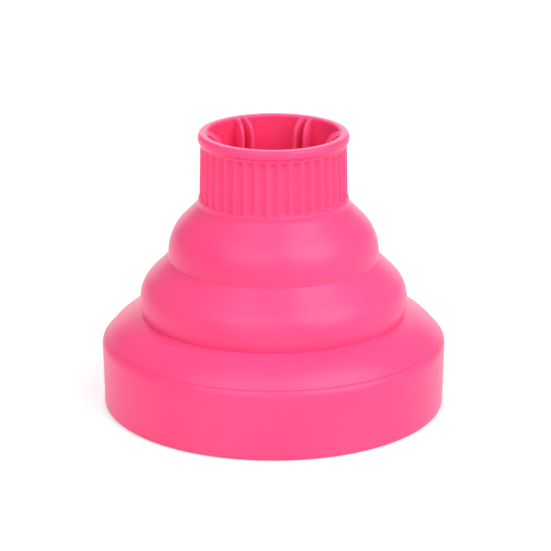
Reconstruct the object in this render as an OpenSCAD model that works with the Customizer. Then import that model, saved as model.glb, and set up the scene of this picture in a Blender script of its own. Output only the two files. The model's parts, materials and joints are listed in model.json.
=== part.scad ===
// Collapsible silicone diffuser for a hair dryer, standing on its rim.
// The origin is the centre of the rim's lower face, with +Z up the axis towards the collar.
// Every zone of the silicone body is a solid of revolution about Z.
// Two thin webs roll inwards, so the fold ring and the collar each push down into the bell.

/* [Rim] */
// Outside diameter at the foot of the rim
rim_d = 144; // [140:0.5:146]
// Height of the rim, to the valley where the shoulder starts
rim_h = 30.1; // [29:0.1:31]
// Extra radius at the top of the rim, from the mould's draft
rim_draft = 0.6; // [0:0.05:0.7]
// Wall of the rim
rim_wall = 2.8; // [2.4:0.1:3.2]
// Rounding of the rim's foot
rim_foot_round = 1.4; // [1:0.1:1.6]
// Rounding of the rim's top edge
rim_top_round = 4; // [3.5:0.1:4.2]

/* [Folds] */
// Wall of the stiff zones
stiff_wall = 2.2; // [1.8:0.1:2.6]
// Wall of the thin webs that roll
web_wall = 1.6; // [1.2:0.1:1.8]
// Height at which the shoulder meets the lower fold
shoulder_top_z = 40.2; // [39:0.1:41]
// Height of the crease between the two folds
fold_crease_z = 64.1; // [63:0.1:65]
// Widest diameter of the lower fold
lower_fold_d = 112.7; // [110:0.1:114]
// Height at which the lower fold is widest
lower_fold_z = 46; // [45:0.1:47]
// Rounding of the lower fold's side
lower_fold_round = 14; // [12:0.1:15]
// Widest diameter of the upper fold
upper_fold_d = 88.7; // [87:0.1:89]
// Height at which the upper fold is widest
upper_fold_z = 66; // [65:0.1:66.5]
// Rounding of the upper fold's side
upper_fold_round = 20.6; // [19:0.1:22]

/* [Collar] */
// Height of the whole diffuser, to the top of the collar
total_h = 117.7; // [117:0.1:119]
// Height at which the upper fold meets the collar
collar_z = 86.8; // [86:0.1:87.5]
// Bore of the collar
collar_bore_d = 55.4; // [55:0.1:56]
// Diameter over the ribs just under the rim bead
collar_top_d = 60.8; // [60.4:0.1:61.2]
// Diameter over the ribs at the foot of the collar
collar_foot_d = 61.9; // [61.4:0.1:62.2]
// Diameter of the small flange at the collar's foot
flange_d = 64; // [63:0.1:64.5]
// Diameter over the rim bead
bead_d = 63; // [62.4:0.1:63.4]
// Height of the rim bead
bead_h = 3.8; // [3.6:0.1:4.2]
// Number of flutes round the collar
flute_count = 40; // [30:2:44]
// Depth of a flute
flute_depth = 0.9; // [0.6:0.05:1]

/* [Grip fins] */
// Number of V-shaped pairs of fins
fin_pairs = 6; // [4:1:8]
// Angle from the middle of a pair to each fin's root
fin_spread = 3.8; // [3.5:0.1:5]
// Angle by which a fin leans away from its partner
fin_lean = 10; // [5:1:15]
// Length of a fin from its root to its free edge
fin_reach = 6; // [5:0.1:6.5]
// Thickness of a fin
fin_t = 1.7; // [1.3:0.1:1.8]
// Depth of the rounded lead-in at the top of a fin
fin_lead_in = 8; // [6:0.1:11]

/* [Diffuser plate] */
// Diameter of the plate
plate_d = 137.8; // [137:0.1:138]
// Thickness of the plate
plate_t = 3; // [2.5:0.1:3.5]
// Height of the plate's lower face above the foot of the rim
plate_z = 17; // [16.5:0.1:17.5]
// Radius of the vents
vent_r = 3.1; // [2.6:0.1:3.3]
// Foot radius of the central air deflector
deflector_r = 19; // [17:0.5:19]
// Height of the central air deflector above the plate
deflector_h = 11; // [8:0.5:12]

/* [Prongs] */
// Number of prongs in the inner ring
inner_prongs = 6; // [3:1:6]
// Radius of the inner ring
inner_ring_r = 25; // [25:0.5:26]
// Number of prongs in the outer ring
outer_prongs = 12; // [6:1:12]
// Radius of the outer ring
outer_ring_r = 47.5; // [47:0.5:48]
// Radius of a prong near its foot
prong_r = 4.3; // [4:0.1:4.6]
// Radius of a prong's rounded tip
prong_tip_r = 2.6; // [2.2:0.1:3]
// Height of the prongs' tips above the foot of the rim
prong_clear = 1.6; // [1:0.1:3]

/* [Hidden] */
$fn = 96;
// Air gap between zones that move apart
gap = 0.35;
// Running gap round a fin's root bead
seat_gap = 0.3;
bead_root_r = 0.9;
fin_axis_r = collar_bore_d / 2 - 0.7;
rim_r = rim_d / 2;
rim_top_r = rim_r + rim_draft;
rim_bore_r = rim_r - rim_wall;
// Width of the ledge between the rim's edge and the valley, and how far the edge rises above the valley
rim_ledge = 2.1;
rim_rise = 0.4;
rim_crease = [rim_top_r - rim_ledge, rim_h];
// The lower part of the lower fold is an arc of this radius, tangent to the upper arc
lower_tuck_round = 26;
lower_r = lower_fold_d / 2;
tuck_angle = asin((lower_fold_z - shoulder_top_z) / lower_tuck_round);
shoulder_crease = [lower_r - lower_tuck_round * (1 - cos(tuck_angle)), shoulder_top_z];
// The two webs start at these heights
lower_web_z = 50;
upper_web_z = 72;
lower_mid = [lower_r - lower_fold_round, lower_fold_z];
upper_mid = [upper_fold_d / 2 - upper_fold_round, upper_fold_z];
lower_web_angle = asin((lower_web_z - lower_fold_z) / lower_fold_round);
upper_web_angle = asin((upper_web_z - upper_fold_z) / upper_fold_round);
ring_angle = asin((fold_crease_z - upper_fold_z) / upper_fold_round);
fold_crease = on_circle(upper_mid, upper_fold_round, ring_angle);
flange_chamfer = 0.4;
collar_crease = [flange_d / 2 - flange_chamfer, collar_z];
// Height of the flange, and of the plain band between the flutes and the bead
flange_h = 3.2;
plain_band = 1.5;
// Both webs slope at this angle where their round side ends
slope = 45;
inward = [-cos(slope), -sin(slope)];
downward = [sin(slope), -cos(slope)];
sag = 1.8;
arc_steps = 8;
plate_top_z = plate_z + plate_t;
// A fin stops this far short of the collar's foot and of its mouth
fin_end_gap = [0.4, 0.6];
fin_foot_z = collar_z + fin_end_gap[0];
fin_top_z = total_h - fin_end_gap[1];
// Radius and count of each ring of vents, and its turn as a share of one step
vent_rings = [
  [inner_ring_r, inner_prongs, 0.5],
  [36, 18, 0],
  [outer_ring_r, outer_prongs, 0.5],
  [58.5, 36, 0.5]
];
prong_rings = [[inner_ring_r, inner_prongs], [outer_ring_r, outer_prongs]];
prong_neck_r = 2;
prong_seat_gap = 0.1;
// Radius of the deflector's stem
stem_r = 3;
inner_names = [for (i = [1:inner_prongs]) numbered("inner_prong_", i)];
outer_names = [for (i = [1:outer_prongs]) numbered("outer_prong_", i)];
fin_names = [for (i = [1:2 * fin_pairs]) numbered("grip_fin_", i)];
silicone = "#f8609a";
hard_plastic = "#e8508a";

function numbered(stem, i) = str(stem, i < 10 ? "0" : "", i);
function on_circle(mid, r, a) = mid + r * [cos(a), sin(a)];
// Points along a circular arc from angle a to angle b
function arc(mid, r, a, b) = [for (i = [0:arc_steps]) on_circle(mid, r, a + (b - a) * i / arc_steps)];
// Centre and radius of the shallow arc of the shoulder, which rises sag above its chord
chord = shoulder_crease - rim_crease;
chord_l = norm(chord);
shoulder_round = chord_l * chord_l / (8 * sag) + sag / 2;
chord_out = [chord[1], -chord[0]] / chord_l;
shoulder_mid = (rim_crease + shoulder_crease) / 2 - (shoulder_round - sag) * chord_out;
function bearing(p) = atan2(p[1] - shoulder_mid[1], p[0] - shoulder_mid[0]);

module revolve(outline) {
  rotate_extrude()
    polygon(outline);
}

// Straight wall with a rounded foot, and two lips inside that trap the plate
module rim() {
  foot_mid = [rim_r - rim_foot_round, rim_foot_round];
  top_mid = [rim_top_r - rim_top_round, rim_h + rim_rise - rim_top_round];
  edge_turn = 56;
  lip = 1.9;
  lip_h = 2.4;
  lip_land = [0.8, 1];
  lip_gap = 0.1;
  foot_chamfer = 0.5;
  color(silicone)
    revolve(concat(
      [[rim_bore_r + foot_chamfer, 0]],
      arc(foot_mid, rim_foot_round, -90, 0),
      arc(top_mid, rim_top_round, 0, edge_turn),
      [
        rim_crease,
        [rim_crease[0] - stiff_wall, rim_h],
        [rim_bore_r, rim_h - stiff_wall],
        [rim_bore_r, plate_top_z + lip_h],
        [rim_bore_r - lip, plate_top_z + lip_land[1]],
        [rim_bore_r - lip, plate_top_z + lip_gap],
        [rim_bore_r, plate_top_z + lip_gap],
        [rim_bore_r, plate_z],
        [rim_bore_r - lip, plate_z],
        [rim_bore_r - lip, plate_z - lip_land[0]],
        [rim_bore_r, plate_z - lip_h],
        [rim_bore_r, foot_chamfer]
      ]
    ));
}

// Sloping roof from the rim up to the lower fold
module shoulder() {
  inner_r = shoulder_round - stiff_wall;
  color(silicone)
    revolve(concat(
      arc(shoulder_mid, shoulder_round, bearing(rim_crease), bearing(shoulder_crease)),
      [[shoulder_crease[0] - stiff_wall, shoulder_top_z]],
      arc(shoulder_mid, inner_r, bearing(shoulder_crease) - 1, bearing(rim_crease) + 2),
      [[rim_crease[0] - stiff_wall, rim_h]]
    ));
}

// Stiff side of the lower fold, which stays on the bell
module lower_fold_wall() {
  tuck_mid = [lower_r - lower_tuck_round, lower_fold_z];
  color(silicone)
    revolve(concat(
      arc(tuck_mid, lower_tuck_round, -tuck_angle, 0),
      arc(lower_mid, lower_fold_round, 0, lower_web_angle),
      arc(lower_mid, lower_fold_round - stiff_wall, lower_web_angle, 0),
      [[shoulder_crease[0] - stiff_wall, shoulder_top_z]]
    ));
}

// Thin web: a round side from angle a to the slope, then straight to its upper end
module web(mid, r, a, end) {
  top = end + gap * downward;
  color(silicone)
    revolve(concat(
      arc(mid, r, a, slope),
      [top, top + web_wall * inward],
      arc(mid, r - web_wall, slope, a)
    ));
}

module lower_fold_web() {
  web(lower_mid, lower_fold_round, lower_web_angle, fold_crease);
}

module upper_fold_web() {
  web(upper_mid, upper_fold_round, upper_web_angle, collar_crease);
}

// Stiff ring at the crease between the folds, with the lower side of the upper fold
module fold_ring() {
  color(silicone)
    revolve(concat(
      arc(upper_mid, upper_fold_round, ring_angle, upper_web_angle),
      arc(upper_mid, upper_fold_round - stiff_wall, upper_web_angle, 0),
      [fold_crease + stiff_wall * inward]
    ));
}

// Angle and lean of fin i, counted from 1: odd fins stand after a pair's middle, even ones before
function fin_side(i) = i % 2 == 1 ? 1 : -1;
function pair_angle(k) = 90 + (k + 0.5) * 360 / fin_pairs;
function fin_angle(i) = pair_angle(floor((i - 1) / 2)) + fin_side(i) * fin_spread;

// Fluted collar with a flange at its foot, a bead at its mouth and twelve seats for the fins
module collar() {
  bore_r = collar_bore_d / 2;
  bead_r = bead_d / 2;
  bead_round = 1.5;
  bead_top_round = 0.6;
  bead_foot_z = total_h - bead_h;
  cove = 0.4;
  mouth_chamfer = 0.7;
  flange_r = flange_d / 2;
  flange_flare = 0.5;
  flange_round = 0.6;
  flute_foot = collar_z + flange_h;
  flute_h = bead_foot_z - plain_band - flute_foot;
  flute_r = 1.7;
  // The seats are cut right through, past both ends of the collar
  seat_overrun = 4;
  taper = atan((collar_foot_d - collar_top_d) / 2 / flute_h);
  color(silicone)
    difference() {
      revolve(concat(
        [
          collar_crease,
          [flange_r, collar_z + flange_chamfer]
        ],
        arc([flange_r - flange_flare - flange_round, flute_foot - flange_round], flange_round, 10, 80),
        [
          [collar_foot_d / 2, flute_foot],
          [collar_top_d / 2, bead_foot_z - cove]
        ],
        arc([bead_r - bead_round, bead_foot_z + bead_round], bead_round, -70, 0),
        arc([bead_r - bead_top_round, total_h - bead_top_round], bead_top_round, 0, 90),
        [
          [bore_r + mouth_chamfer, total_h],
          [bore_r, total_h - mouth_chamfer],
          [bore_r, collar_z - 0.2],
          collar_crease + stiff_wall * inward
        ]
      ));
      for (i = [0:flute_count - 1])
        rotate([0, 0, -90 + i * 360 / flute_count])
          translate([collar_foot_d / 2 + flute_r - flute_depth, 0, flute_foot])
            rotate([0, -taper, 0])
              cylinder(h = flute_h, r = flute_r, $fn = 24);
      for (i = [1:2 * fin_pairs])
        rotate([0, 0, fin_angle(i)])
          translate([fin_axis_r, 0, collar_z - seat_overrun])
            cylinder(h = total_h - collar_z + 2 * seat_overrun, r = bead_root_r + seat_gap, $fn = 32);
    }
}

// Blade on a round root bead: its free edge is a quarter of an ellipse from the mouth down
module grip_fin(i) {
  h = fin_top_z - fin_foot_z;
  color(silicone)
    rotate([0, 0, fin_angle(i)])
      translate([fin_axis_r, 0, fin_foot_z]) {
        cylinder(h = h, r = bead_root_r, $fn = 32);
        rotate([0, 0, 180 + fin_side(i) * -fin_lean])
          translate([0, fin_t / 2, 0])
            rotate([90, 0, 0])
              linear_extrude(fin_t)
                polygon(concat(
                  [[0, 0], [fin_reach, 0]],
                  [for (s = [arc_steps:-1:0]) [
                    max(fin_reach * sin(90 * s / arc_steps), bead_root_r),
                    h - fin_lead_in * (1 - cos(90 * s / arc_steps))
                  ]],
                  [[0, h]]
                ));
      }
}

// Vented disc with a chamfered edge, a stiffening rib and seats for the prongs
module diffuser_plate() {
  edge = 0.6;
  rib_r = plate_d / 2 - 4.5;
  color(hard_plastic)
    difference() {
      revolve([
        [0, plate_z],
        [plate_d / 2 - edge, plate_z],
        [plate_d / 2, plate_z + edge],
        [plate_d / 2, plate_top_z - edge],
        [plate_d / 2 - edge, plate_top_z],
        [rib_r, plate_top_z],
        [rib_r - 0.4, plate_top_z + 1.2],
        [rib_r - 1.6, plate_top_z + 1.2],
        [rib_r - 2, plate_top_z],
        [0, plate_top_z]
      ]);
      for (ring = vent_rings)
        polar(ring[0], ring[1], ring[2])
          plate_hole(vent_r);
      for (ring = prong_rings)
        polar(ring[0], ring[1], 0)
          plate_hole(prong_neck_r + prong_seat_gap);
      plate_hole(stem_r + prong_seat_gap);
    }
}

// Repeats its children n times round a circle, turned by a share of one step
module polar(r, n, turn) {
  for (i = [0:n - 1])
    rotate([0, 0, 90 + (i + turn) * 360 / n])
      translate([r, 0, 0])
        children();
}

module plate_hole(r) {
  translate([0, 0, plate_z - 1])
    cylinder(h = plate_t + 4, r = r, $fn = 32);
}

// Bell-shaped cone on the plate, held by a stem and a snap head under it
module air_deflector() {
  steps = 14;
  edge = 1.2;
  color(hard_plastic)
    revolve(concat(
      [for (i = [0:steps]) [
        deflector_r * i / steps,
        plate_top_z + edge + (deflector_h - edge) * (1 + cos(180 * i / steps)) / 2
      ]],
      [
        [deflector_r, plate_top_z],
        [stem_r, plate_top_z],
        [stem_r, plate_z],
        [stem_r + 1.2, plate_z],
        [stem_r + 1.2, plate_z - 0.8],
        [stem_r - 0.6, plate_z - 2.6],
        [0, plate_z - 2.6]
      ]
    ));
}

// Soft finger with a rounded tip, a foot disc, and a neck and barb through the plate
module prong(r, n, i) {
  tip_mid = [0, prong_clear + prong_tip_r];
  foot = plate_z - 1.8;
  color(silicone)
    rotate([0, 0, 90 + (i - 1) * 360 / n])
      translate([r, 0, 0])
        revolve(concat(
          arc(tip_mid, prong_tip_r, -90, -8),
          [
            [prong_r, foot],
            [prong_r + 1, foot + 0.4],
            [prong_r + 1, plate_z],
            [prong_neck_r, plate_z],
            [prong_neck_r, plate_top_z],
            [prong_neck_r + 0.7, plate_top_z],
            [prong_neck_r + 0.7, plate_top_z + 0.4],
            [prong_neck_r - 0.6, plate_top_z + 2],
            [0, plate_top_z + 2]
          ]
        ));
}

rim();
shoulder();
lower_fold_wall();
lower_fold_web();
fold_ring();
upper_fold_web();
collar();
for (i = [1:len(fin_names)])
  grip_fin(i);
diffuser_plate();
air_deflector();
for (i = [1:inner_prongs])
  prong(inner_ring_r, inner_prongs, i);
for (i = [1:outer_prongs])
  prong(outer_ring_r, outer_prongs, i);
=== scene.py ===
import json
import math

import bmesh
import bpy
import numpy as np
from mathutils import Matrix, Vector


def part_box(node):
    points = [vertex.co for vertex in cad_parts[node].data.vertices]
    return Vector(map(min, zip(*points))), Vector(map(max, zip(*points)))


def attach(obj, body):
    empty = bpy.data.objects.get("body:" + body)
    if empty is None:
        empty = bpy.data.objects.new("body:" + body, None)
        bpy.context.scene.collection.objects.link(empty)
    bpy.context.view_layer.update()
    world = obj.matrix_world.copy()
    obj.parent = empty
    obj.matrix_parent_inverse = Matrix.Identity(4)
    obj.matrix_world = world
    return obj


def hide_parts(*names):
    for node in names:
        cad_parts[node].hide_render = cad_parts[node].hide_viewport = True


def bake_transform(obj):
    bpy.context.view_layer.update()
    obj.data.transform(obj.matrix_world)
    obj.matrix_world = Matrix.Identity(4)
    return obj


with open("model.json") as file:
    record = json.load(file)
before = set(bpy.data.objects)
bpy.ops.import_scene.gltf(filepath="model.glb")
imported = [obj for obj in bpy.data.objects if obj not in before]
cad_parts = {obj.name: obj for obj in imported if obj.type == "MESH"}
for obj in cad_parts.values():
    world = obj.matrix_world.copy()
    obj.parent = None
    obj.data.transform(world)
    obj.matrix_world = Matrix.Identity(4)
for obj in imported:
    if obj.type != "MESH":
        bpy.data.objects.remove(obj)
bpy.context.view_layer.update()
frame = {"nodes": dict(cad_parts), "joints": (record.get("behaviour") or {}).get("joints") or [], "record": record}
mm = 0.001


def hexColour(text):
    # sRGB hex to linear: v / 12.92 close to black, and ((v + 0.055) / 1.055) ^ 2.4 above that
    value = np.array([int(text[i:i + 2], 16) for i in (1, 3, 5)]) / 255
    linear = np.where(value <= 0.04045, value / 12.92, ((value + 0.055) / 1.055) ** 2.4)
    return (*linear.tolist(), 1.0)


cameraSet = {
    "place": (0.8, -1016.9, 392.6),    # mm
    "pitch": 18.37,                    # degrees below the horizon
    "lens": 165.95,                    # mm
    "sensor": 36,                      # mm
    "clip": (0.05, 40),                # m
}

# Very large soft boxes: direction towards each, its spread in degrees and its strength
lightSet = {
    "key": {"towards": (0.58, -0.42, 0.70), "spread": 50, "strength": 2.5},
    "fill": {"towards": (-0.37, -0.62, 0.70), "spread": 50, "strength": 1.35},
}

# The floor is a lit white table, so shadows on it stay faint. The room is dim, with a lit wall behind.
stageSet = {
    "floorHalf": 9000,         # mm
    "floorColour": "#a9a8a7",
    "floorRoughness": 0.6,
    "floorGlow": 0.66,
    "unlit": (66, 74),         # mm from the axis; the glow is masked off inside, and full outside
    "roomColour": "#ffffff",
    "roomStrength": 0.36,
    "wallStrength": 2.2,
    "wallBlend": (0.8, 0.98),  # how far back a direction points, of 1, where the wall begins and is full
}


def addNode(tree, kind, settings=None, links=None):
    # one node, its own settings by attribute or socket name, and what feeds its sockets
    node = tree.nodes.new(kind)
    for name, value in (settings or {}).items():
        if isinstance(name, str) and hasattr(node, name):
            setattr(node, name, value)
        else:
            node.inputs[name].default_value = value
    for name, socket in (links or {}).items():
        tree.links.new(socket, node.inputs[name])
    return node


def newMaterial(name):
    # an empty material and its node tree
    material = bpy.data.materials.new(name)
    material.use_nodes = True
    material.node_tree.nodes.clear()
    return material, material.node_tree


def buildCamera():
    # level from side to side, and tipped down from the horizon by its pitch
    data = bpy.data.cameras.new("studioCamera")
    data.lens = cameraSet["lens"]
    data.sensor_width = cameraSet["sensor"]
    data.clip_start, data.clip_end = cameraSet["clip"]
    camera = bpy.data.objects.new("studioCamera", data)
    camera.location = [v * mm for v in cameraSet["place"]]
    camera.rotation_euler = (math.radians(90 - cameraSet["pitch"]), 0, 0)
    bpy.context.collection.objects.link(camera)
    bpy.context.scene.camera = camera


def buildLights():
    # Each soft box is a wide sun. The room's strength is a smooth step over how far back a direction points,
    # from roomStrength up to wallStrength.
    for name, spec in lightSet.items():
        data = bpy.data.lights.new(name + "Light", "SUN")
        data.angle = math.radians(spec["spread"])
        data.energy = spec["strength"]
        lamp = bpy.data.objects.new(name + "Light", data)
        lamp.rotation_euler = Vector(spec["towards"]).to_track_quat("Z", "Y").to_euler()
        bpy.context.collection.objects.link(lamp)
    world = bpy.data.worlds.new("studioWorld")
    world.use_nodes = True
    tree = world.node_tree
    background = tree.nodes["Background"]
    background.inputs["Color"].default_value = hexColour(stageSet["roomColour"])
    direction = addNode(tree, "ShaderNodeTexCoord").outputs["Generated"]
    back = addNode(tree, "ShaderNodeSeparateXYZ", None, {"Vector": direction}).outputs["Y"]
    start, full = stageSet["wallBlend"]
    glow = addNode(tree, "ShaderNodeMapRange", {
        "interpolation_type": "SMOOTHSTEP", "From Min": start, "From Max": full,
        "To Min": stageSet["roomStrength"], "To Max": stageSet["wallStrength"]}, {"Value": back})
    tree.links.new(glow.outputs["Result"], background.inputs["Strength"])
    bpy.context.scene.world = world
    bpy.context.scene.view_settings.view_transform = "Standard"


def buildFloor():
    # A square about the origin. Its glow rises in a straight line from nothing at the inner unlit radius.
    half = stageSet["floorHalf"] * mm
    mesh = bpy.data.meshes.new("studioFloor")
    corners = [(-half, -half, 0), (half, -half, 0), (half, half, 0), (-half, half, 0)]
    mesh.from_pydata(corners, [], [(0, 1, 2, 3)])
    floor = bpy.data.objects.new("studioFloor", mesh)
    bpy.context.collection.objects.link(floor)
    # opal acrylic light table: pale, lit from below, with no gloss at all
    material, tree = newMaterial("opalLightTable")
    shader = addNode(tree, "ShaderNodeBsdfDiffuse", {
        "Color": hexColour(stageSet["floorColour"]), "Roughness": stageSet["floorRoughness"]})
    place = addNode(tree, "ShaderNodeTexCoord").outputs["Object"]
    reach = addNode(tree, "ShaderNodeVectorMath", {"operation": "LENGTH"}, {0: place})
    inner, outer = stageSet["unlit"]
    mask = addNode(tree, "ShaderNodeMapRange", {
        "From Min": inner * mm, "From Max": outer * mm, "To Max": stageSet["floorGlow"],
    }, {"Value": reach.outputs["Value"]})
    glow = addNode(tree, "ShaderNodeEmission", None, {"Strength": mask.outputs["Result"]})
    both = addNode(tree, "ShaderNodeAddShader", None, {
        0: shader.outputs["BSDF"], 1: glow.outputs["Emission"]})
    addNode(tree, "ShaderNodeOutputMaterial", None, {"Surface": both.outputs["Shader"]})
    mesh.materials.append(material)


# Soft moulded silicone rubber: matt, slightly translucent, with the fine grain of a spark-eroded mould
siliconeSet = {
    "colour": "#fc4c83",
    "warmColour": "#fb487f",    # the same pigment where the wall is a little thinner
    "paintedShadeColour": "#fb2250",    # painted shade: a deeper red painted into hollows, for the light that has bounced from wall to wall there
    "hollow": 75,               # mm searched for a facing wall
    "patch": 38,                # mm across a patch of the drift between the first two colours
    "grain": 0.9,               # mm; the real grain is about 0.2 and is drawn coarser so that it shows
    "grainDepth": 0.02,         # mm
    "roughness": (0.29, 0.37),
    "ior": 1.41,
    "specular": 0.32,
    "subsurface": 0.35,
    "bleed": (6.0, 0.25, 0.35),  # mm that red, green and blue travel inside, so red glows through the wall
}

# Injection-moulded polypropylene: satin, stiffer and a shade deeper than the silicone
plasticSet = {
    "colour": "#e83a74",
    "warmColour": "#e4366e",
    # painted shade: the deeper colour painted into hollows and creases
    "paintedShadeColour": "#d62c5e",
    "hollow": 10,
    "patch": 30,
    "grain": 1.4,
    "grainDepth": 0.012,
    "roughness": (0.30, 0.40),
    "ior": 1.49,
    "specular": 0.5,
    "subsurface": 0.03,
    "bleed": (1.0, 0.3, 0.4),
}

# Softer silicone for the prongs: the same pigment and a shallower grain, because its mould was polished
prongSet = {
    "colour": "#f64680",
    "warmColour": "#f4427b",
    # painted shade: the deeper colour painted into hollows and creases
    "paintedShadeColour": "#f0346a",
    "hollow": 10,
    "patch": 20,
    "grain": 1.0,
    "grainDepth": 0.01,
    "roughness": (0.38, 0.46),
    "ior": 1.41,
    "specular": 0.4,
    "subsurface": 0.18,
    "bleed": (2.5, 0.6, 0.8),
}

# What the three materials share: two noises, and the values of each between which it takes effect
mouldSet = {
    "patchNoise": {"Detail": 2.0, "Roughness": 0.5},
    "patchSpread": (0.35, 0.65),
    "grainNoise": {"Detail": 3.0, "Roughness": 0.6},
    "grainSpread": (0.3, 0.7),
    "bump": 0.6,
    "rays": 8,                  # sent out to see how open a place is
    "openness": (0.2, 0.75),    # share of them that escape, from full painted shade colour to none
}


def mouldedMaterial(name, spec):
    # Colour: a patchy noise mixes the first two colours, and the painted shade colour takes over where few rays
    # escape, so hollows and creases are darkened as shade would darken them.
    # Roughness and bump follow a fine grain noise. Mix takes colours in sockets 6 and 7 and gives output 2.
    material, tree = newMaterial(name)
    place = addNode(tree, "ShaderNodeTexCoord").outputs["Object"]
    patch = addNode(tree, "ShaderNodeTexNoise", {
        "Scale": 1 / (spec["patch"] * mm), **mouldSet["patchNoise"]}, {"Vector": place})
    grain = addNode(tree, "ShaderNodeTexNoise", {
        "Scale": 1 / (spec["grain"] * mm), **mouldSet["grainNoise"]}, {"Vector": place})
    start, full = mouldSet["patchSpread"]
    drift = addNode(tree, "ShaderNodeMapRange", {
        "From Min": start, "From Max": full}, {"Value": patch.outputs["Fac"]})
    pigment = addNode(tree, "ShaderNodeMix", {
        "data_type": "RGBA", 6: hexColour(spec["colour"]), 7: hexColour(spec["warmColour"]),
    }, {0: drift.outputs["Result"]})
    # Painted shade: the share of rays that escape marks hollows, creases and the bore, which get the painted shade
    # colour
    escape = addNode(tree, "ShaderNodeAmbientOcclusion", {
        "samples": mouldSet["rays"], "only_local": True, "Distance": spec["hollow"] * mm})
    start, full = mouldSet["openness"]
    shallow = addNode(tree, "ShaderNodeMapRange", {
        "From Min": start, "From Max": full}, {"Value": escape.outputs["AO"]})
    colour = addNode(tree, "ShaderNodeMix", {
        "data_type": "RGBA", 6: hexColour(spec["paintedShadeColour"]),
    }, {0: shallow.outputs["Result"], 7: pigment.outputs[2]})
    start, full = mouldSet["grainSpread"]
    low, high = spec["roughness"]
    rough = addNode(tree, "ShaderNodeMapRange", {
        "From Min": start, "From Max": full, "To Min": low, "To Max": high,
    }, {"Value": grain.outputs["Fac"]})
    bump = addNode(tree, "ShaderNodeBump", {
        "Strength": mouldSet["bump"], "Distance": spec["grainDepth"] * mm,
    }, {"Height": grain.outputs["Fac"]})
    shader = addNode(tree, "ShaderNodeBsdfPrincipled", {
        "IOR": spec["ior"],
        "Specular IOR Level": spec["specular"],
        "Subsurface Weight": spec["subsurface"],
        "Subsurface Radius": [v * mm for v in spec["bleed"]],
        "Subsurface Scale": 1.0,
    }, {
        "Base Color": colour.outputs[2],
        "Roughness": rough.outputs["Result"],
        "Normal": bump.outputs["Normal"],
    })
    addNode(tree, "ShaderNodeOutputMaterial", None, {"Surface": shader.outputs["BSDF"]})
    return material


def roundedPath(corners, closed=True, turn=7.0, longest=None):
    # A polyline in (r, z) whose corners (r, z, rounding) become arcs. With half for half of the angle that
    # the path turns by at a corner, its arc starts rounding * tan half away from the corner, and is centred
    # rounding / cos half away. It is stepped every turn degrees, and runs are cut to the longest step given.
    path = []
    count = len(corners)
    for i, (r, z, radius) in enumerate(corners):
        here = np.array((r, z), float)
        if not closed and i in (0, count - 1):
            path.append(here)
            continue
        before = np.array(corners[i - 1][:2], float) - here
        after = np.array(corners[(i + 1) % count][:2], float) - here
        before, after = before / np.linalg.norm(before), after / np.linalg.norm(after)
        half = 0.5 * math.acos(np.clip(-before @ after, -1, 1))
        if radius <= 0 or half < 1e-4:    # sharp, or hardly a corner
            path.append(here)
            continue
        reach = radius * math.tan(half)
        middle = before + after
        centre = here + middle / np.linalg.norm(middle) * radius / math.cos(half)
        steps = max(3, int(math.ceil(math.degrees(2 * half) / turn)))    # even a slight bend has three
        first, last = here + before * reach - centre, here + after * reach - centre
        share = np.linspace(0, 1, steps + 1)[:, None]
        # slerp between the two radii keeps the points on the circle
        arc = np.sin((1 - share) * 2 * half) * first + np.sin(share * 2 * half) * last
        arc /= math.sin(2 * half)
        path.extend(centre + arc)
    path = np.array(path)
    if closed:
        path = np.vstack([path, path[:1]])
    if longest:
        pieces = []
        for a, b in zip(path[:-1], path[1:]):
            cuts = max(1, int(math.ceil(np.linalg.norm(b - a) / longest)))
            pieces.append(a + (b - a) * np.linspace(0, 1, cuts, endpoint=False)[:, None])
        path = np.vstack(pieces + [path[-1:]])
    return path[:-1] if closed else path


def gridMesh(name, grid, closedRows=True, poles=False):
    # A surface on a grid of rows and columns. Columns always close; rows close too on a ring,
    # and with poles the first and last rows are each capped by a fan to their mean point.
    rows, cols = grid.shape[:2]
    index = np.arange(rows * cols).reshape(rows, cols)
    across = np.roll(index, -1, axis=1)
    if closedRows:
        up, upAcross = np.roll(index, -1, axis=0), np.roll(across, -1, axis=0)
    else:
        up, upAcross = index[1:], across[1:]
        index, across = index[:-1], across[:-1]
    quads = np.stack([index, across, upAcross, up], axis=-1).reshape(-1, 4)
    points = grid.reshape(-1, 3)
    caps = []
    if poles:
        ends = np.array([grid[0].mean(0), grid[-1].mean(0)])
        low, high = len(points), len(points) + 1
        points = np.vstack([points, ends])
        ring = np.arange(cols)
        around = np.roll(ring, -1)
        top = (rows - 1) * cols
        caps = np.vstack([
            np.column_stack([np.full(cols, low), around, ring]),
            np.column_stack([np.full(cols, high), ring + top, around + top]),
        ])
    # signed volume says which way the faces point
    a, b, c, d = (points[quads[:, k]] for k in range(4))
    volume = np.einsum("ij,ij->i", a, np.cross(b, c)).sum() + np.einsum("ij,ij->i", a, np.cross(c, d)).sum()
    if volume < 0:
        quads = quads[:, ::-1]
        caps = caps[:, ::-1] if len(caps) else caps
    return finishMesh(name, points, quads.tolist() + (caps.tolist() if len(caps) else []))


def finishMesh(name, points, faces):
    # points in mm become a smooth-shaded object at the origin
    mesh = bpy.data.meshes.new(name)
    mesh.from_pydata((points * mm).tolist(), [], faces)
    mesh.polygons.foreach_set("use_smooth", np.ones(len(mesh.polygons), bool))
    mesh.update()
    piece = bpy.data.objects.new(name, mesh)
    bpy.context.collection.objects.link(piece)
    return piece


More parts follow.
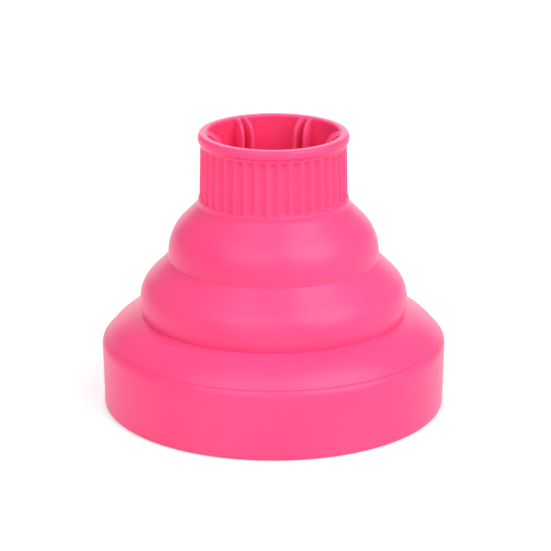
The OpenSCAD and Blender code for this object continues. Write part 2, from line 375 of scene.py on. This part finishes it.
def revolve(name, path, columns, centre=(0, 0), swell=None, poles=False):
    # Surface of revolution: x = cx + r cos a, y = cy + r sin a, z = z. The radius r may swell by a function
    # of (a, r, z).
    angle = np.linspace(0, 2 * np.pi, columns, endpoint=False)[None, :]
    r, z = path[:, :1], path[:, 1:]
    radius = r + (swell(angle, r, z) if swell else 0 * angle)
    grid = np.stack([centre[0] + radius * np.cos(angle), centre[1] + radius * np.sin(angle),
                     z + 0 * angle], axis=-1)
    return gridMesh(name, grid, closedRows=not poles, poles=poles)


def dress(piece, material, nodes, body=None):
    # a piece that bends between two bodies rides on neither, so it has no body here
    piece.data.materials.append(material)
    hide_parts(*nodes)
    if body:
        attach(piece, body)


def smoothStep(low, high, value):
    # t * t * (3 - 2 t), where t is the value's share of the way from low to high
    t = np.clip((value - low) / (high - low), 0, 1)
    return t * t * (3 - 2 * t)


bellSet = {
    # corners (r, z, rounding) in mm: the rim wall, its rounded edge, a valley and the domed shoulder
    "outside": [(72.0, 0, 1.4), (72.6, 28.7, 3.9), (70.5, 30.05, 1.7), (65.08, 37.87, 24.3),
                (55.2, 40.35, 0.3)],
    # back down inside, past the two lips that trap the plate, to the foot
    "inside": [(53.5, 39.7, 0.4), (63.2, 35.8, 21.5), (67.9, 29.7, 1.0), (69.2, 27.8, 1.0),
               (69.2, 22.5, 0.4), (67.4, 21.0, 0.3), (67.4, 20.15, 0.2), (69.2, 20.1, 0.05),
               (69.2, 16.95, 0.05), (67.4, 16.9, 0.2), (67.4, 16.1, 0.3), (69.2, 14.6, 0.4),
               (69.25, 0, 0.5)],
    "longest": 2.5,    # mm between rows off the bends
    "columns": 320,
}


def buildBell(material):
    # the closed profile, turned about z
    path = roundedPath(bellSet["outside"] + bellSet["inside"], longest=bellSet["longest"])
    piece = revolve("bellSkin", path, bellSet["columns"])
    dress(piece, material, ("rim", "shoulder"), "bell")


lowerFoldSet = {
    "outside": [(55.75, 39.9, 0.45), (56.36, 43.1, 20), (56.36, 51.8, 14), (43.2, 64.95, 0.3)],
    "inside": [(42.1, 63.8, 0.3), (54.2, 51.7, 12), (54.1, 39.7, 0.3)],
    "hinge": (50.0, 64.1),    # mm; the skin rolls between these heights
    "bodies": ("bell", "fold_ring_body"),
    "nodes": ("lower_fold_wall", "lower_fold_web"),
}

upperFoldSet = {
    "outside": [(44.25, 63.85, 0.45), (44.35, 74.53, 20.6), (31.3, 87.55, 0.3)],
    "inside": [(30.2, 86.4, 0.3), (42.15, 74.4, 18.5), (42.2, 62.9, 0.4)],
    "hinge": (72.0, 86.8),
    "bodies": ("fold_ring_body", "collar_body"),
    "nodes": ("fold_ring", "upper_fold_web"),
}

# Rows and columns of both folds, fine enough to roll smoothly
foldGrid = {
    "turn": 4.0,       # degrees between rows on a bend
    "longest": 0.9,    # mm between rows elsewhere
    "columns": 288,
}


def buildFold(name, spec, material):
    # The closed profile, turned about z. It is attached to no body.
    path = roundedPath(spec["outside"] + spec["inside"], turn=foldGrid["turn"], longest=foldGrid["longest"])
    piece = revolve(name, path, foldGrid["columns"])
    dress(piece, material, spec["nodes"])
    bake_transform(piece)


collarSet = {
    # flange, fluted wall and rim bead, then down the bore
    "outside": [(31.2, 86.4, 0.2), (31.98, 86.85, 0.1), (31.65, 87.6, 1.2), (31.55, 89.9, 0.8),
                (31.0, 90.05, 0.1), (30.98, 90.5, 0), (30.47, 111.7, 0), (30.45, 112.4, 0),
                (30.42, 113.2, 0.8), (31.5, 114.5, 1.0), (31.5, 116.2, 1.2), (30.85, 117.7, 0.7)],
    "inside": [(28.3, 117.7, 0.4), (27.7, 117.0, 0.4), (27.7, 86.6, 0.5), (29.9, 85.3, 0.4)],
    "turn": 10.0,              # degrees between rows on a bend
    "longest": 0.9,            # mm between rows elsewhere
    "flutes": 40,
    "fluteColumns": 14,        # across a flute and its rib
    "depth": 1.4,              # mm
    "foot": (90.0, 90.5),      # the flutes start abruptly at the flange
    "head": (111.7, 112.4),    # and end as abruptly under the bead
    "core": 29.4,              # mm; nothing inside this radius is cut
}


def fluteDepth(angle, r, z):
    # A flute is centred on the front. Across: half of 1 + cos(flutes * angle), so ribs and flutes are
    # equally wide and round. Along: full depth between its foot and its head. Only the outer wall is cut.
    across = 0.5 + 0.5 * np.cos(collarSet["flutes"] * (angle + np.pi / 2))
    along = smoothStep(*collarSet["foot"], z) * (1 - smoothStep(*collarSet["head"], z))
    outer = r > collarSet["core"]
    return -collarSet["depth"] * across * along * outer


def buildCollar(material):
    # the closed profile, turned about z and cut by the flutes
    path = roundedPath(collarSet["outside"] + collarSet["inside"], turn=collarSet["turn"],
                       longest=collarSet["longest"])
    piece = revolve("collarSkin", path, collarSet["flutes"] * collarSet["fluteColumns"], swell=fluteDepth)
    dress(piece, material, ("collar",), "collar_body")


finSet = {
    "root": -1.6,         # mm from the hinge line, inside the collar's wall
    "start": -0.9,        # where the free edge leaves the wall at the mouth
    "reach": 6.0,         # mm from the hinge line to the free edge
    "halfThick": 0.85,
    "tipShare": 0.45,     # of a section's length from root to edge, the most its half thickness can be
    "fillet": 0.7,        # extra half thickness where the fin grows out of the wall
    "filletFrom": -0.7,   # mm from the hinge line, where the fillet starts to fade
    "filletFade": 0.55,   # mm over which it fades to about a third
    "top": 117.2,         # mm
    "foot": 87.2,
    "leadIn": 8.0,
    "lean": 10.0,         # degrees away from the partner
    "bend": (-0.6, 2.2),  # the skin bends between these distances from the hinge line
    "edgeRows": 30,
    "straightRows": 16,
    "sidePoints": 14,
    "tipPoints": 11,
}


def buildFin(joint, material):
    # A blade lofted up z. Its section at each height is a stadium from the root to the free edge: two sides
    # whose half thickness falls off exponentially from the wall, and a half round. From the mouth down, the
    # edge is a quarter of an ellipse: start + (reach - start) * sin a at a depth of leadIn * (1 - cos a).
    place = np.array(joint["pos_m"]) / mm
    outward = math.atan2(place[1], place[0])
    side = -np.sign(joint["axis"][2])
    lean = outward + math.pi - side * math.radians(finSet["lean"])
    along = np.array([math.cos(lean), math.sin(lean)])
    across = np.array([-along[1], along[0]])
    turn = np.linspace(0, np.pi / 2, finSet["edgeRows"])
    straight = np.linspace(finSet["top"] - finSet["leadIn"], finSet["foot"], finSet["straightRows"])[1:]
    height = np.concatenate([finSet["top"] - finSet["leadIn"] * (1 - np.cos(turn)), straight])
    edge = np.concatenate([finSet["start"] + (finSet["reach"] - finSet["start"]) * np.sin(turn),
                           np.full(len(straight), finSet["reach"])])[:, None]
    sideRun = np.linspace(0, 1, finSet["sidePoints"])
    cap = np.linspace(-np.pi / 2, np.pi / 2, finSet["tipPoints"])[1:-1]
    tip = np.minimum(finSet["halfThick"], (edge - finSet["root"]) * finSet["tipShare"])
    run = finSet["root"] + (edge - tip - finSet["root"]) * sideRun
    flare = finSet["fillet"] * np.exp(-np.clip(run - finSet["filletFrom"], 0, None) / finSet["filletFade"])
    thick = tip + flare
    s = np.hstack([run, edge - tip + tip * np.cos(cap), run[:, ::-1]])
    t = np.hstack([-thick, tip * np.sin(cap), thick[:, ::-1]])
    xy = place[:2] + s[..., None] * along + t[..., None] * across
    grid = np.concatenate([xy, np.broadcast_to(height[:, None, None], s.shape + (1,))], axis=-1)
    body = joint["child"]
    node = frame["record"]["behaviour"]["bodies"][body][0]
    piece = gridMesh("skin_" + node, grid, closedRows=False, poles=True)
    dress(piece, material, (node,))
    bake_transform(piece)


plateSet = {
    "low": 17.0,               # mm
    "high": 20.0,
    "columns": 216,
    "cellSteps": 8,            # along each side of a vent's cell
    "ventRadius": 3.1,
    "soft": 0.35,              # rounding of a vent's edges
    "lipTurns": (0, 30, 60, 90),    # degrees along that rounding
    "land": 0.4,               # flat ring round a vent, before its cell fans out
    # each band of vents: its inner and outer radius, its vents, and how many steps round its first one is
    "bands": [(20, 30, 6, 0.5), (30, 42, 18, 0.0), (42, 53, 12, 0.5), (53, 62, 36, 0.5)],
    "ventRings": (25.0, 36.0, 47.5, 58.5),
    "edge": [(62, 20.0, 0), (62.4, 20.0, 0), (62.8, 21.2, 0.3), (64.0, 21.2, 0.3), (64.4, 20.0, 0.2),
             (68.9, 20.0, 0.6), (68.9, 17.0, 0.6), (62, 17.0, 0)],
    "hub": [(20, 17.0, 0), (3.1, 17.0, 0.3), (3.1, 20.0, 0.3), (20, 20.0, 0)],
    "turn": 30,                # degrees between rows on the roundings of the edge and the hub
    "weld": 2e-6,              # m
}


def ventCell(inner, outer, count, ventR):
    # One cell of a band round one vent. Rows run from the cell's border on top, in to the vent's rounded
    # lip, down its wall and out again below. Columns go round the border, and each row keeps its bearing.
    soft, low, high = plateSet["soft"], plateSet["low"], plateSet["high"]
    half = np.pi / count
    arcSteps = plateSet["columns"] // count
    sideSteps = plateSet["cellSteps"]
    arc = np.linspace(-half, half, arcSteps, endpoint=False)
    run = np.linspace(0, 1, sideSteps, endpoint=False)
    radius = np.concatenate([np.full(arcSteps, outer), outer + (inner - outer) * run,
                             np.full(arcSteps, inner), inner + (outer - inner) * run])
    angle = np.concatenate([arc, np.full(sideSteps, half), -arc, np.full(sideSteps, -half)])
    border = np.column_stack([radius * np.cos(angle), radius * np.sin(angle)])
    middle = np.array([ventR, 0.0])
    away = border - middle
    away /= np.linalg.norm(away, axis=1)[:, None]
    hole = plateSet["ventRadius"]
    land = hole + soft + plateSet["land"]
    bend = np.radians(np.array(plateSet["lipTurns"]))
    lip = np.column_stack([hole + soft * (1 - np.sin(bend)), high - soft * (1 - np.cos(bend))])
    rows = [np.column_stack([border, np.full(len(border), high)])]
    for r, z in np.vstack([[land, high], lip, (lip * [1, -1] + [0, high + low])[::-1], [land, low]]):
        rows.append(np.column_stack([middle + away * r, np.full(len(border), z)]))
    rows.append(np.column_stack([border, np.full(len(border), low)]))
    return np.array(rows)


def buildPlate(material):
    # Each band repeats its cell round z. The edge and the hub are open profiles turned about z.
    points, faces, total = [], [], 0

    def add(grid):
        # faces between each row and the next, closed round the columns
        nonlocal total
        rows, cols = grid.shape[:2]
        index = np.arange(rows * cols).reshape(rows, cols) + total
        across = np.roll(index, -1, axis=1)
        quads = np.stack([index[:-1], index[1:], across[1:], across[:-1]], axis=-1)
        points.append(grid.reshape(-1, 3))
        faces.append(quads.reshape(-1, 4))
        total += rows * cols

    for (inner, outer, count, turn), ventR in zip(plateSet["bands"], plateSet["ventRings"]):
        cell = ventCell(inner, outer, count, ventR)
        for k in range(count):
            a = np.pi / 2 + (k + turn) * 2 * np.pi / count
            spin = np.array([[math.cos(a), math.sin(a), 0], [-math.sin(a), math.cos(a), 0], [0, 0, 1]])
            add(cell @ spin)
    angle = np.pi / 2 + np.linspace(0, 2 * np.pi, plateSet["columns"], endpoint=False)[None, :]
    for key in ("edge", "hub"):
        path = roundedPath(plateSet[key], closed=False, turn=plateSet["turn"])
        r, z = path[:, :1], path[:, 1:]
        add(np.stack([r * np.cos(angle), r * np.sin(angle), z + 0 * angle], axis=-1))
    piece = finishMesh("platePlastic", np.vstack(points), np.vstack(faces).tolist())
    weld(piece)
    dress(piece, material, ("diffuser_plate",), "bell")


def weld(piece):
    # merges the rows that neighbouring cells share, then turns every face outwards
    work = bmesh.new()
    work.from_mesh(piece.data)
    bmesh.ops.remove_doubles(work, verts=work.verts, dist=plateSet["weld"])
    bmesh.ops.recalc_face_normals(work, faces=work.faces)
    work.to_mesh(piece.data)
    work.free()


deflectorSet = {
    "foot": 19.0,     # mm
    "low": 20.0,
    "edge": 1.2,
    "rise": 9.8,
    "flank": (0.05, 18.8),              # radii where the cone's flank begins and ends
    "flankRows": 40,
    "brim": (19.0, 20.9, 0.2),          # the cone's outer corner (r, z, rounding)
    "stem": [(19.0, 20.02, 0.2), (3.0, 20.02, 0.2), (3.0, 17.0, 0.1), (4.2, 16.95, 0.2), (4.2, 16.2, 0.3),
             (2.4, 14.4, 0.4), (0.05, 14.4, 0)],
    "turn": 20,
    "columns": 128,
}


def buildDeflector(material):
    # The flank is half a cosine: z = low + edge + rise * (1 + cos(pi r / foot)) / 2. The stem and its snap
    # head carry on from the brim, and the whole profile is turned about z.
    foot, low, edge, rise = (deflectorSet[key] for key in ("foot", "low", "edge", "rise"))
    r = np.linspace(*deflectorSet["flank"], deflectorSet["flankRows"])
    z = low + edge + rise * (1 + np.cos(np.pi * r / foot)) / 2
    flank = np.column_stack([r, z])
    stem = roundedPath([(*flank[-1], 0), deflectorSet["brim"]] + deflectorSet["stem"],
                       closed=False, turn=deflectorSet["turn"])
    path = np.vstack([flank[:-1], stem])
    piece = revolve("deflectorPlastic", path, deflectorSet["columns"], poles=True)
    dress(piece, material, ("air_deflector",), "bell")


prongSkinSet = {
    # tip, tapering finger, collar under the plate, neck in its hole and button on top
    "outline": [(0.05, 1.6, 0), (2.7, 1.6, 2.5), (4.25, 15.2, 0.9), (5.25, 15.45, 0.5), (5.3, 17.0, 0.15),
                (2.0, 17.0, 0.1), (2.0, 20.0, 0.1), (2.7, 20.05, 0.3), (1.4, 22.0, 0.6), (0.05, 22.0, 0)],
    "turn": 12,        # degrees between rows on a bend
    "longest": 2.5,    # mm between rows elsewhere
    "columns": 40,
}


def buildProngs(material):
    # Each prong is one profile turned about its own axis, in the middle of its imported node's box
    path = roundedPath(prongSkinSet["outline"], closed=False, turn=prongSkinSet["turn"],
                       longest=prongSkinSet["longest"])
    for node in sorted(n for n in frame["nodes"] if "_prong_" in n):
        low, high = (np.array(corner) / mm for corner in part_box(node))
        middle = (low + high) / 2
        piece = revolve("skin_" + node, path, prongSkinSet["columns"], centre=middle[:2], poles=True)
        dress(piece, material, (node,), "bell")


buildCamera()
buildLights()
buildFloor()
print("stage set")

silicone = mouldedMaterial("softTouchSilicone", siliconeSet)
plastic = mouldedMaterial("satinPolypropylene", plasticSet)
prongSilicone = mouldedMaterial("polishedMouldSilicone", prongSet)

buildBell(silicone)
buildFold("lowerFoldSkin", lowerFoldSet, silicone)
buildFold("upperFoldSkin", upperFoldSet, silicone)
buildCollar(silicone)
print("silicone body built")

for joint in frame["joints"]:
    if joint["type"] == "hinge":
        buildFin(joint, silicone)
print("grip fins built")

buildPlate(plastic)
buildDeflector(plastic)
buildProngs(prongSilicone)
print("plate, deflector and prongs built")
